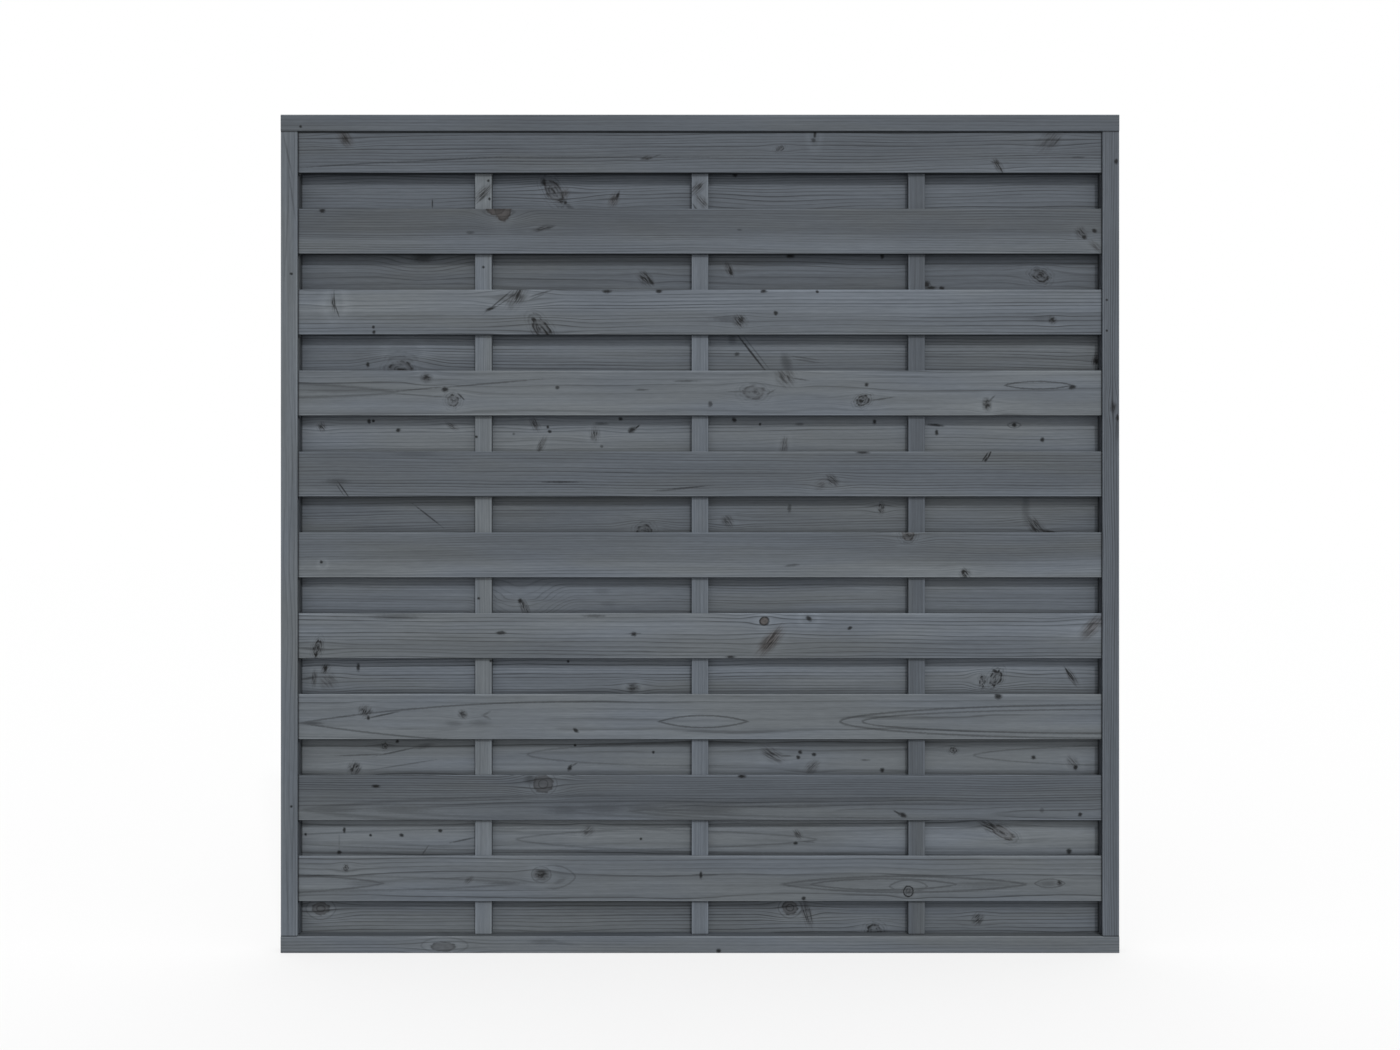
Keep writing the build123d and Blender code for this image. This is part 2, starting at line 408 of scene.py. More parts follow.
def painted_seam_shade(tree, given):
    """Painted shade along the seams of the front faces, and which faces are sheltered and get painted shade.
    """
    along, depth, across = parts(tree, given["place"])
    joint = parts(tree, given["joint"])
    shelter = parts(tree, given["shelter"])
    from_middle = maths(tree, "ABSOLUTE", along)
    in_front = maths(tree, "LESS_THAN", depth, 0.0)
    to_end = maths(tree, "SUBTRACT", joint["X"], from_middle)
    to_top = maths(tree, "SUBTRACT", joint["Z"], across)
    # painted shadow along the upper seam and where the board ends in the frame
    shade_at_seam = ease(tree, maths(tree, "MINIMUM", to_end, to_top), *SHADE_AT_SEAM_EDGE, 0.0, in_front)
    # painted shade rising from the lower seam
    shade_above_seam = ease(tree, maths(tree, "SUBTRACT", across, joint["Y"]), *SHADE_ABOVE_SEAM_EDGE, 0.0, in_front)
    # the sheltered faces, which get painted shade
    low_side = maths(tree, "LESS_THAN", across, shelter["X"])
    high_side = maths(tree, "GREATER_THAN", across, shelter["Y"])
    inside = maths(tree, "LESS_THAN", maths(tree, "ABSOLUTE", depth), shelter["Z"])
    between = maths(tree, "LESS_THAN", from_middle, OPENING_HALF)
    return shade_at_seam, shade_above_seam, product(tree, maths(tree, "MAXIMUM", low_side, high_side), inside, between)


print("opening", round(2 * OPENING_HALF), "mm wide")

# %% [markdown]
# ## Stain
# The stain follows the wood: late wood takes it darker, broad clouds lean towards a cool or a warm grey,
# fibres streak it finely, and the arrises are paler, partly from wear and partly as a painted highlight.
# Painted shade darkens the seams and the sheltered faces. Every one of these is a factor on the stain's
# colour, because a thin stain lets all of the wood show through. The names below that end in DEPTH say how
# strong each factor is.

# %% A group for the stained wood
STAIN_COOL = (0.1060, 0.1215, 0.1418)
STAIN_WARM = (0.1125, 0.125, 0.1355)
KNOT_BROWN = (0.090, 0.083, 0.082)
FIBRE = (26.0, 1.9, 1.9)
THREAD = (320.0, 2.6, 2.6)
STREAK = (260.0, 14.0, 14.0)
CLOUD = (420.0, 70.0, 70.0)
CLOUD_HUE = (0.3, 0.7)
CLOUD_LATE = (0.35, 0.65, 0.6, 1.15)
LATE_DEPTH = -0.78
FIBRE_DEPTH = 0.36
THREAD_DEPTH = 0.6
STREAK_DEPTH = 0.26
CLOUD_DEPTH = 0.4
KNOT_DEPTH = -0.9
HALO_DEPTH = 0.22
INK_DEPTH = -0.94
# paler arrises, partly wear and partly a painted highlight
WORN_HIGHLIGHT_DEPTH = 0.24
# how dark the painted shade along the seams is
SHADE_AT_SEAM_DEPTH = -0.72
SHADE_ABOVE_SEAM_DEPTH = -0.35
# where the paler arrises lie and how patchy they are: partly wear, partly a painted highlight
WORN_HIGHLIGHT_EDGE = (4.5, 1.5)
WORN_HIGHLIGHT_PATCH = (0.35, 0.6, 0.5, 1.0)
TONE_WAVER = 24.0
TONE_BLUR = 13.0
ROUGHNESS = 0.62
ROUGH_STREAKS = 0.25
ROUGH_KNOTS = -0.12


def one_plus(tree, depth, value):
    return maths(tree, "MULTIPLY_ADD", value, depth, 1.0)


def stain_colour(tree, hue, brown):
    """The stain between cool and warm, turned brown in the heart of a knot."""
    stain = mix_colour(tree, hue, (*STAIN_COOL, 1.0), (*STAIN_WARM, 1.0))
    return mix_colour(tree, brown, stain, (*KNOT_BROWN, 1.0))


def stained_wood_group():
    inputs = dict(place="Vector", bent="Vector", lift="Float", marks="Vector", ink="Float", seed="Vector",
                  pith="Vector", slope="Vector", ring="Float", wander="Float", contrast="Float",
                  tone="Vector", turn="Float", hue="Float", joint="Vector", shelter="Vector", shade="Float",
                  half="Float")
    outputs = dict(colour="Color", roughness="Float", height="Float")
    tree, given, made = start_group("stained_wood", inputs, outputs)
    late = late_wood(tree, given)
    seeded = vector(tree, "ADD", given["place"], given["seed"])
    fibre = centred(tree, noise(tree, seeded, FIBRE)[0])
    flowing = vector(tree, "ADD", given["bent"], given["seed"])
    thread = centred(tree, noise(tree, flowing, THREAD)[0])
    streak = centred(tree, noise(tree, flowing, STREAK)[0])
    cloud = noise(tree, seeded, CLOUD)
    marks = parts(tree, given["marks"])
    across = parts(tree, given["place"])["Z"]
    tones = parts(tree, given["tone"])

    patches = add_node(tree, "ShaderNodeSeparateColor", Color=cloud["Color"]).outputs
    hue = ease(tree, maths(tree, "ADD", patches["Green"], given["hue"]), *CLOUD_HUE)
    late = maths(tree, "MULTIPLY", late, ease(tree, patches["Blue"], *CLOUD_LATE))
    edge = maths(tree, "SUBTRACT", given["half"], maths(tree, "ABSOLUTE", across))
    # paler arrises: partly wear and partly a painted highlight
    worn_highlight = product(tree, ease(tree, edge, *WORN_HIGHLIGHT_EDGE), ease(tree, cloud[0], *WORN_HIGHLIGHT_PATCH))
    below = maths(tree, "SUBTRACT", maths(tree, "MULTIPLY_ADD", streak, TONE_WAVER, across), given["turn"])
    tone = ease(tree, below, TONE_BLUR, -TONE_BLUR, tones["X"], tones["Y"])
    shade_at_seam, shade_above_seam, sheltered = painted_seam_shade(tree, given)
    level = product(
        tree,
        tone,
        one_plus(tree, maths(tree, "MULTIPLY", given["contrast"], LATE_DEPTH), late),
        one_plus(tree, FIBRE_DEPTH, fibre),
        one_plus(tree, THREAD_DEPTH, thread),
        one_plus(tree, STREAK_DEPTH, streak),
        one_plus(tree, CLOUD_DEPTH, centred(tree, cloud[0])),
        one_plus(tree, KNOT_DEPTH, marks["X"]),
        one_plus(tree, HALO_DEPTH, marks["Y"]),
        one_plus(tree, INK_DEPTH, given["ink"]),
        one_plus(tree, WORN_HIGHLIGHT_DEPTH, worn_highlight),
        # painted shade along the seams and on the sheltered faces
        one_plus(tree, SHADE_AT_SEAM_DEPTH, shade_at_seam),
        one_plus(tree, SHADE_ABOVE_SEAM_DEPTH, shade_above_seam),
        one_plus(tree, maths(tree, "MULTIPLY", given["shade"], -1.0), sheltered),
    )
    colour = stain_colour(tree, hue, marks["Z"])
    tree.links.new(vector(tree, "SCALE", colour, level), made["colour"])

    dry = maths(tree, "MULTIPLY_ADD", streak, ROUGH_STREAKS, ROUGHNESS)
    tree.links.new(maths(tree, "MULTIPLY_ADD", marks["X"], ROUGH_KNOTS, dry), made["roughness"])
    tree.links.new(fibre, made["height"])
    return tree


stained_wood = stained_wood_group()
print("stained wood group with", len(stained_wood.nodes), "nodes")

# %% [markdown]
# ## Words for the marks on a board
# Each board is looked at as a carpenter grades it: where its knots are, how long and high they are and how
# they lean. Along and up are millimetres from the board's middle, and the sizes are half lengths. The words
# below turn such a reading into the inputs of the groups.

# %% Knots, pins, cracks and smears as values
FLOW_ALONG = (4.0, 25.0)
FLOW_ACROSS = (2.0, 8.0)


def knot(along, up, length, height, tilt=0.0, dark=0.95, pale=0.5, brown=0.15, push=0.75, heart="solid"):
    """A heart, and the grain that parts round it out to some times its size and some millimetres more."""
    far_along = FLOW_ALONG[0] * length + FLOW_ALONG[1]
    far_up = FLOW_ACROSS[0] * height + FLOW_ACROSS[1]
    return dict(heart=heart, at=(along, up), half=(length, height), tilt=tilt, strength=(dark, pale, brown),
                flow=(far_along, far_up), push=push, rise=0.0)


def hatched(along, up, length, height, tilt=0.0, dark=0.9, **changes):
    """A knot torn into strokes."""
    return knot(along, up, length, height, tilt, dark, **(dict(heart="hatched", push=0.5) | changes))


def ringed(along, up, length, height, tilt=0.0, dark=0.75, **changes):
    """A knot with fine rings of its own."""
    return knot(along, up, length, height, tilt, dark, heart="ringed", **changes)


def plug(along, up, length, height, tilt=0.0, dark=0.8, **changes):
    """A dead brown knot with a dark rim."""
    look = dict(heart="plug", brown=0.9, pale=0.9) | changes
    return knot(along, up, length, height, tilt, dark, **look)


def eye(along, up, length, height, tilt=0.0, dark=0.42, width=2.6, blunt=1.3, fade=0.0):
    """A dark outline in the grain, as where a ring comes to the surface."""
    return dict(at=(along, up), half=(length, height), tilt=tilt, strength=dark, width=width, blunt=blunt,
                fade=fade)


def arch(*reading):
    """An eye of which only the left end shows."""
    return dict(eye(*reading), fade=1.0)


def target(along, up, length, height, dark=0.65, outer=1.8):
    """A round knot with a ring in it, a pale rim and a faint ring about it."""
    return [
        plug(along, up, length, height, dark=dark, brown=0.3),
        eye(along, up, 0.5 * length, 0.5 * height, dark=0.7 * dark, width=2.2, blunt=2.0),
        eye(along, up, outer * length, outer * height, dark=0.4 * dark, width=2.6, blunt=1.6),
    ]


def halo(along, up, length, height, pale=0.8):
    """A pale patch round a dark mark."""
    return dict(heart="solid", at=(along, up), half=(length, height), tilt=0.0, strength=(0.0, pale, 0.0))


def lens(along, up, length, height, rings=1.0):
    """An arch or long eye in the growth rings, with no heart in it."""
    return dict(at=(along, up), flow=(length, height), push=0.0, rise=rings)


def fleck_mark(along, up, length, height, tilt, dark, soft):
    return dict(at=(along, up), half=(length, height), tilt=tilt, strength=dark, soft=soft)


def pin(along, up, length=3.1, height=None, tilt=0.0, dark=0.95):
    return fleck_mark(along, up, length, height or length, tilt, dark, soft=1.45)


def dash(along, up, length, height=2.0, tilt=0.0, dark=0.5):
    return fleck_mark(along, up, length, height, tilt, dark, soft=1.6)


def crack(along, up, length, tilt, dark=0.95, height=1.8):
    return fleck_mark(along, up, length, height, tilt, dark, soft=1.55)


def smear(along, up, length, height, tilt=0.0, dark=0.4):
    return fleck_mark(along, up, length, height, tilt, dark, soft=2.1)


print("words for marks ready")

# %% [markdown]
# ## One material per board
# No two boards look alike, so every board gets a material of its own. Object coordinates are turned into
# millimetres from the board's middle with X along the grain, Y into the depth and Z across. Uprights are
# turned a quarter first. Then the knots pass the bent coordinates from one to the next, the small marks
# follow, and the stained wood reads the result. Lean and taper, how the pith slopes against the board, are
# millimetres per metre.

# %% Make a board's material
INWARD_REACH = 400.0
FRAY_SIZE = (6.0, 6.0, 3.5)
FAR_AWAY = 2000.0
# painted shade where a board ends in the frame, and on the underside of a slat
ENDS_IN_FRAME = (OPENING_HALF, -FAR_AWAY, FAR_AWAY)
SLAT_UNDERSIDE = (-48.1, FAR_AWAY, FAR_AWAY)
SEED_STEP = Vector((1370.0, 410.0, 730.0))
SPECULAR = 0.2
BUMP_STRENGTH = 0.5
BUMP_DISTANCE = 0.0004


def grain_place(tree, name, upright):
    """Millimetres from the board's middle, X along the grain and Z across it, and half the board's width."""
    low, high = (Vector(corner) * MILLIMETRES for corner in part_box(name))
    middle = (low + high) / 2
    turn = Matrix.Rotation(math.pi / 2 if upright else 0.0, 3, "Y")
    where = add_node(tree, "ShaderNodeTexCoord").outputs["Object"]
    place = add_node(tree, "ShaderNodeMapping", {"vector_type": "POINT"}, Vector=where,
                     Location=-(turn @ middle), Rotation=turn.to_euler(), Scale=(MILLIMETRES,) * 3)
    size = high - low
    return place.outputs[0], (size.x if upright else size.z) / 2


def flow_inputs(spot):
    along, up = spot["at"]
    far_along, far_up = spot["flow"]
    return dict(centre=(along, 0.0, up), flow=(1.0 / far_along, 0.0, 1.0 / far_up),
                pull=(0.0, 0.0, spot["push"]), rise=spot["rise"])


def shape_inputs(spot):
    along, up = spot["at"]
    length, height = spot["half"]
    return dict(centre=(along, 0.0, up), reach=(length, INWARD_REACH, height),
                turn=(0.0, -math.radians(spot["tilt"]), 0.0), strength=spot["strength"])


def lay_marks(tree, place, fray, marks):
    """Chain the groups of all marks: the bent grain and its lift, the hearts and the ink of small marks."""
    bent, lift, hearts, ink = place, 0.0, NO_MARK, 0.0
    for spot in marks:
        if "flow" in spot:
            out = use_group(tree, grain_flow, place=place, bent=bent, lift=lift, **flow_inputs(spot))
            bent, lift = out["bent"], out["lift"]
        if "heart" in spot:
            group = heart_groups[spot["heart"]]
            hearts = use_group(tree, group, place=place, marks=hearts, **shape_inputs(spot))["marks"]
        for group, words in ((fleck, ("soft",)), (ring_eye, ("width", "blunt", "fade"))):
            if words[0] in spot:
                own = {word: spot[word] for word in words}
                own.update(shape_inputs(spot))
                ink = use_group(tree, group, place=place, ink=ink, fray=fray, **own)["ink"]
    return dict(bent=bent, lift=lift, marks=hearts, ink=ink)


def board_material(name, number, marks, pith, ring, wander, contrast, tone, upright=False, lean=0.0,
                   taper=0.0, turn=0.0, hue=0.0, joint=ENDS_IN_FRAME, shelter=SLAT_UNDERSIDE, shade=0.5):
    material = bpy.data.materials.new(name + "_stain")
    material.use_nodes = True
    tree = material.node_tree
    surface = tree.nodes["Principled BSDF"]
    place, half = grain_place(tree, name, upright)
    seed = tuple(SEED_STEP * number)
    fray = centred(tree, noise(tree, vector(tree, "ADD", place, seed), FRAY_SIZE)[0])
    slope = (0.0, taper / MILLIMETRES, lean / MILLIMETRES)
    wood = use_group(tree, stained_wood, place=place, **lay_marks(tree, place, fray, marks), seed=seed,
                     pith=(0.0, pith[1], pith[0]), slope=slope, ring=ring, wander=wander,
                     contrast=contrast, tone=(*tone, 0.0), turn=turn, hue=hue, joint=joint, shelter=shelter,
                     shade=shade, half=half)
    join(tree, surface.inputs["Base Color"], wood["colour"])
    join(tree, surface.inputs["Roughness"], wood["roughness"])
    surface.inputs["Specular IOR Level"].default_value = SPECULAR
    bump = add_node(tree, "ShaderNodeBump", Height=wood["height"], Distance=BUMP_DISTANCE,
                    Strength=BUMP_STRENGTH)
    join(tree, surface.inputs["Normal"], bump.outputs[0])
    return material


def dress(name, material):
    """Put one material into every slot of a piece."""
    mesh = nodes[name].data
    for index in range(len(mesh.materials)):
        mesh.materials[index] = material


print("board materials can be made")

# %% [markdown]
# ## Front slats
# The ten front slats fill most of the view, so their reading is the most careful. They are listed from the
# top. A pith far above or below gives the straight dense lines, and a pith close behind gives arches and
# long eyes.

# %% Read the front slats
# painted shade under the top rail, and how dark the painted shade on the slats' undersides is
UNDER_TOP_RAIL = (OPENING_HALF, -FAR_AWAY, 39.5)
FRONT_SHADE = 0.8
front_slats = [
    dict(
        pith=(170, 60), ring=6.2, lean=10, wander=16, contrast=0.8, tone=(0.86, 1.0), turn=-28, hue=-0.16,
        joint=UNDER_TOP_RAIL,
        marks=[
            hatched(-763, 27, 17, 10, -55, 0.7, brown=0.6), hatched(-115, -17, 10, 4, 8, 1.0),
            dash(-98, -14, 13, 1.5, 20), dash(-760, -31, 110, 1.6, 3.5), dash(-560, -21, 130, 1.6, 3.0),
            dash(-230, -15, 260, 1.4, 0), ringed(172, 4, 9, 5, 20, 0.8), halo(246, 30, 8, 16, 1.0),
            pin(247, 36, 3.2, 10), pin(244, 22, 4.5, 5, dark=0.7), hatched(641, -33, 13, 6, -58, 1.0),
            crack(632, -26, 8, -15, 0.6, 1.4), crack(648, -43, 7, -60, 0.7, 1.4),
            hatched(752, 24, 26, 15, 48, 0.5), crack(768, 20, 10, 50, 0.6, 1.4),
            dash(789, 41, 10, 3, dark=1), dash(812, -15, 14),
        ],
    ),
    dict(
        pith=(-170, 60), ring=5.2, lean=-6, wander=12, contrast=0.55, tone=(0.75, 1.06), turn=-10,
        marks=[
            pin(-812, 44, 6.5, 5), plug(-439, 51, 19, 15, 0, 0.7), plug(-424, 47, 17, 23, 0, 0.75),
            dash(-494, -3, 8, 3), hatched(-338, 6, 17, 4.5, 14, 1.0), dash(-322, 8, 10, 1.6, 20),
            dash(85, 3, 5), hatched(820, -5, 11, 9, -50, 0.8), pin(848, 1, 6, 4.2, -35),
            pin(826, -13, 5.5, 4.5), hatched(850, -33, 15, 6, -42, 0.5),
        ],
    ),
    dict(
        pith=(-190, 50), ring=7.6, lean=4, wander=14, contrast=0.76, tone=(1.30, 1.02), turn=0, hue=-0.06,
        marks=[
            halo(-784, 18, 14, 20), hatched(-788, 20, 13, 4, -84, 1.0), crack(-786, 26, 22, -88, 0.6, 1.2),
            crack(-780, 2, 12, -70, 0.7, 1.4), pin(-702, -32, 3.4), pin(-701, -43, 3.6, 4.5),
            knot(-405, 30, 26, 10, dark=0.0, pale=0.3, push=0.6), crack(-432, 24, 34, 40, 0.7, 1.5),
            crack(-418, 25, 34, 34, 0.5, 1.3), pin(-451, 7, 12, 3.4, 22),
            hatched(-392, 36, 24, 13, 58, 0.8), dash(-340, 41, 26, 1.8, 17),
            dash(-350, 33, 16, 1.5, 22, 0.4), ringed(-340, -38, 28, 14, -52, 0.95),
            crack(-330, -44, 14, -52), pin(-200, 45, 9, 4.2), pin(-88, 45, 7, 4), pin(137, 45, 7, 3.6),
            pin(252, 44, 3.5), hatched(86, -19, 12, 10, -55, 1.0), smear(58, -14, 24, 4.5),
            pin(163, -2, 5.2), knot(757, -17, 7, 8, 40, 1.0, push=0.3), smear(736, -14, 18, 4.5, 0, 0.3),
        ],
    ),
    dict(
        pith=(-20, 36), ring=10.0, taper=8, wander=18, contrast=0.62, tone=(1.12, 1.18), turn=-25, hue=0.06,
        marks=[
            eye(-1010, 8, 350, 17, -1, 0.38, 5.0), smear(-790, 9, 80, 6, -3, 0.2),
            dash(-610, 8, 60, 1.8, 5), dash(-460, 20, 110, 1.8, 5), dash(-600, -5, 80, 1.6, -4, 0.4),
            knot(-588, 33, 10, 8), pin(-548, 8, 7, 5.5), ringed(-531, -16, 12, 12, 60),
            crack(-513, -8, 10, -45, 0.8), pin(-307, 12, 4.5, 4, dark=0.8), dash(-30, 26, 24),
            dash(-125, 7, 14), pin(22, -24, 5, 6, dark=0.7), ringed(116, 2, 22, 14, 0, 0.5),
            dash(80, 3, 22, 1.6, 0, 0.35), dash(152, 2, 10, 1.8, 30, 0.4),
            hatched(183, 37, 18, 15, -55, 0.7), dash(214, 30, 16, 1.8, -8), pin(358, 18, 4.5),
            ringed(350, -16, 14, 10, 25, 1.0), pin(346, -17, 6, 4.5), dash(388, -13, 26, 1.8, 9),
            knot(617, -24, 8, 11, 0, 1.0), dash(628, -11, 8, 2, 45), eye(727, 17, 70, 8, 0, 0.6),
            pin(800, 13, 9, 5),
        ],
    ),
    dict(
        pith=(170, 50), ring=6.2, lean=-4, wander=12, contrast=0.75, tone=(0.89, 1.05), turn=-30, hue=-0.06,
        marks=[
            smear(-611, 43, 34, 4, 0, 0.2), crack(-768, -31, 23, -55, 0.85, 1.5),
            crack(-775, -32, 18, -55, 0.5, 1.3), smear(-780, -16, 18, 5), dash(-301, -17, 38, 1.8, 0, 0.75),
            dash(-25, -29, 40, 1.6, 5, 0.7), dash(-66, -34, 32, 1.6, 3),
            hatched(284, -13, 12, 8, -40, 0.85), hatched(262, -22, 14, 9, 30, 0.35), crack(622, 41, 10, 65),
            crack(613, 37, 11, 55), pin(615, 31, 6, 3, 60), dash(350, 47, 13, 3.4, 0, 0.85),
        ],
    ),
    dict(
        pith=(-170, 80), ring=5.0, lean=6, wander=14, contrast=0.45, tone=(0.92, 1.22), turn=-14,
        marks=[
            halo(-811, -19, 6, 6, 1.0), pin(-814, -15, 3.4), dash(198, -22, 15, 2.6, 5),
            ringed(447, 45, 13, 13, brown=0.7, pale=1.0), hatched(570, -40, 9, 9, -50, 1.0),
            pin(566, -36, 3.6, 5),
        ],
    ),
    dict(
        pith=(-190, 45), ring=8.2, lean=-5, wander=18, contrast=0.72, tone=(1.26, 1.02), turn=-6, hue=-0.02,
        marks=[
            smear(-654, 41, 36, 4), ringed(-822, -26, 16, 8, 76, 1.0), pin(-825, -41, 7, 2.6, 70),
            pin(-427, 7, 11, 4, dark=0.85), dash(-228, 43, 22, 3), pin(-142, 4, 6.5, 4.6),
            dash(-142, 5, 14, 1.6), plug(138, 32, 9, 8, 20, dark=0.95),
            eye(138.5, 32, 10, 8.6, 15, 0.7, 2.6, 1.8), halo(234, 36, 12, 9, 1.0),
            pin(234, 37, 7, 5.4, -40), hatched(151, -12, 28, 11, 50, 0.85, brown=1.0),
            knot(139, -22, 11, 7, 50, 0.5, brown=1.0, push=0.2), dash(66, -45, 9, 2.6, 0, 0.9),
            pin(322, 17, 5, 3.4, 20), hatched(844, 20, 24, 12, 45, 0.65, brown=0.6),
        ],
    ),
    dict(
        pith=(-14, 26), ring=10.5, taper=-4, wander=14, contrast=0.5, tone=(1.15, 1.19), turn=-20, hue=0.06,
        marks=[
            hatched(-719, 12, 9, 11, 60, 1.0), pin(-713, -2, 3.6, 5), dash(-682, 4, 34, 1.8, 12, 0.7),
            dash(-770, 0, 20, 1.8, 5, 0.6), knot(-510, 6, 8, 7, -40), smear(-530, -14, 13, 4.5, 0, 0.25),
            smear(-473, -14, 17, 5, 0, 0.25), smear(-836, -13.5, 18, 3, 0, 0.6),
            dash(-460, 7, 10, 2.4, 30, 0.35), dash(-460, 0, 10, 2.4, -25, 0.35), pin(-267, -29, 7, 4, -40),
            eye(7, -10, 94, 13, 0, 0.55, 3.0, 1.1), eye(902, -10, 600, 36, 0, 0.5, 3.6, 1.8),
            eye(905, -10, 555, 26, 0, 0.45, 3.0, 1.9), arch(-258, -13, 600, 46, 0, 0.5, 3.2, 1.05),
            pin(641, 44, 8, 6.4),
        ],
    ),
    dict(
        pith=(-34, 24), ring=4.6, taper=-6, wander=16, contrast=0.82, tone=(0.82, 0.98), turn=-25,
        hue=-0.08,
        marks=[
            dash(-697, 25, 8, 3.4, 0, 1.0), *target(-337, 30, 20, 18, 0.6, 1.5),
            smear(-366, 40, 8, 8, 0, 0.5), dash(90, 46, 8, 3.4, 0, 1.0), pin(436, -37, 9, 5, -25),
            dash(426, -33, 11, 2, -30, 0.8), pin(817, -36, 4.6), pin(735, -27, 5, dark=0.4),
            arch(-245, -26, 600, 30, 0, 0.28, 6.0), arch(-71, -28, 600, 22, 0, 0.25, 5.0),
            arch(305, -28, 600, 24, 0, 0.25, 5.0), arch(455, -29, 600, 26, 0, 0.3, 5.0),
            arch(515, -29, 600, 16, 0, 0.3, 4.0), smear(-118, -22, 30, 5, 0, 0.3),
            smear(-790, -25, 40, 6, 0, 0.3), smear(-640, -26, 46, 6, 0, 0.28),
            smear(-290, -27, 26, 7, 0, 0.3), smear(-205, -23, 32, 8, 0, 0.3), smear(22, -24, 46, 8, 0, 0.3),
        ],
    ),
    dict(
        pith=(-14, 30), ring=8.0, taper=3, wander=14, contrast=0.72, tone=(1.08, 1.05), turn=5,
        marks=[
            ringed(-761, 23, 5, 6, dark=1.0), eye(-1050, -10, 366, 24, 0, 0.45, 4.0),
            eye(-770, -10, 368, 15, 0, 0.3, 4.0), smear(-420, -10, 26, 3.4),
            hatched(-497, -3, 9, 5, 40, 0.5), knot(-341, 9, 14, 10, 0, 1.0, pale=1.0, brown=0.3),
            eye(-341, 9, 21, 17, 0, 0.28, 2.4, 2.0), eye(-318, 4, 50, 25, 0, 0.3, 3.0, 1.4, -1.0),
            smear(-299, -4, 10, 3, 25, 0.25), pin(2, 8, 3.6, 8), dash(10, 9, 26, 1.4), pin(223, -42, 4.6),
            eye(439, -12, 258, 17, 0, 0.45, 4.0), eye(394, -12, 155, 12, 0, 0.45, 3.4),
            smear(610, -12, 48, 5, 0, 0.28), smear(225, -12, 30, 4, 0, 0.25),
            smear(-715, -10, 28, 5, 0, 0.25), eye(448, -16, 40, 13, 0, 0.35, 3.0),
            eye(448, -27, 10, 11, 0, 0.95, 2.4, 2.0), hatched(448, -27, 9, 10, 60, 0.5),
            smear(425, -28, 9, 3.4), smear(472, -28, 9, 3.4), knot(773, -9, 5, 5),
            eye(752, -10, 32, 9, 0, 0.4), smear(747, -10, 14, 6, 0, 0.3),
        ],
    ),
]
for number, reading in enumerate(front_slats, 1):
    name = f"front_slat_{number:02d}"
    dress(name, board_material(name, number, shade=FRONT_SHADE, **reading))
print("stained", len(front_slats), "front slats")
